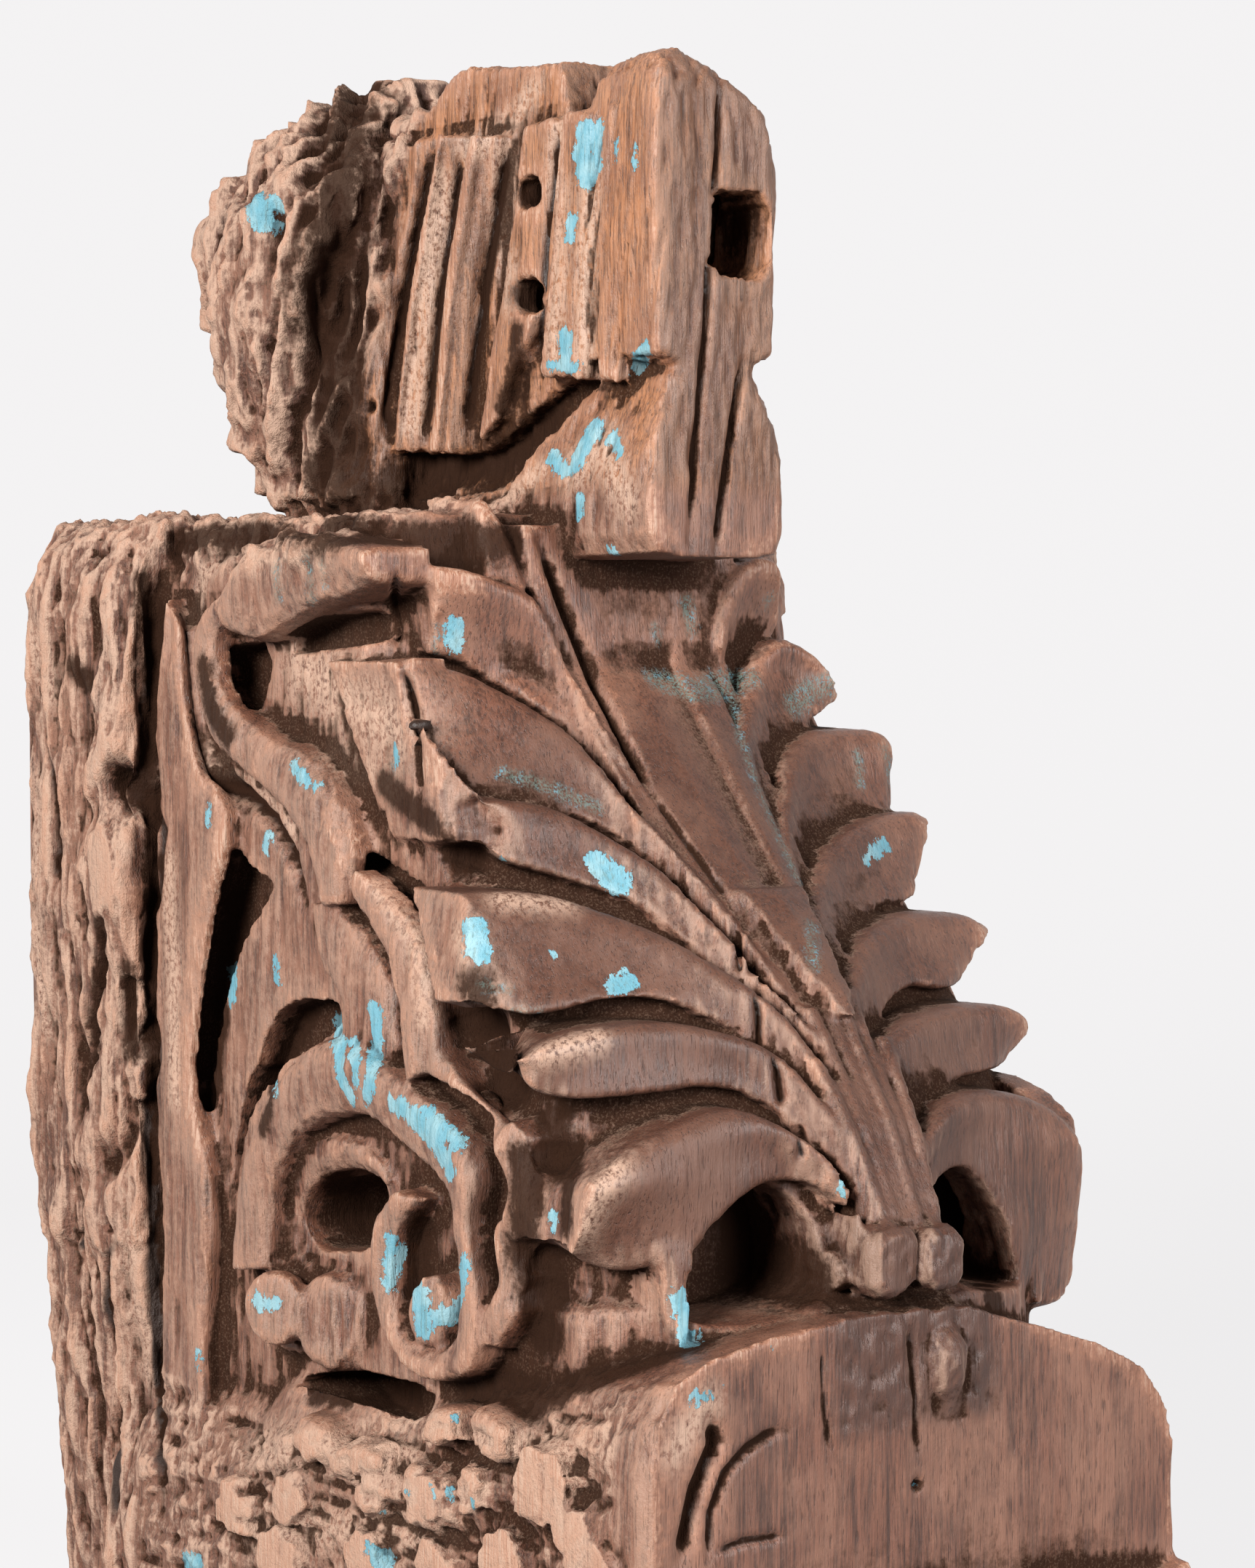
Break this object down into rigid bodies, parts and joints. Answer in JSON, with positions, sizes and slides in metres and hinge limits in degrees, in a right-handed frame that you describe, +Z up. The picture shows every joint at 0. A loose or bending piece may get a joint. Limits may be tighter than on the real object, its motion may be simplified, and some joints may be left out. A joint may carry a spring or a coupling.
{
  "type": "carved wooden corbel",
  "caption": "Weathered carved wooden corbel with a front palmette, side scrolls and a narrow moulded block on top, fixed by its flat back face.",
  "frame": {"origin": "middle of the flat wall face at half the height of the post", "axes": "+Y into the wall, so the corbel reaches towards -Y; +X across the corbel; +Z up"},
  "size_m": [0.1813, 0.318, 0.4738],
  "materials": {
    "wood": "old dry reddish-brown hardwood, worn and dusty, with flakes of turquoise paint"
  },
  "bodies": {
    "root": {"corbel": "wood"}
  },
  "joints": []
}
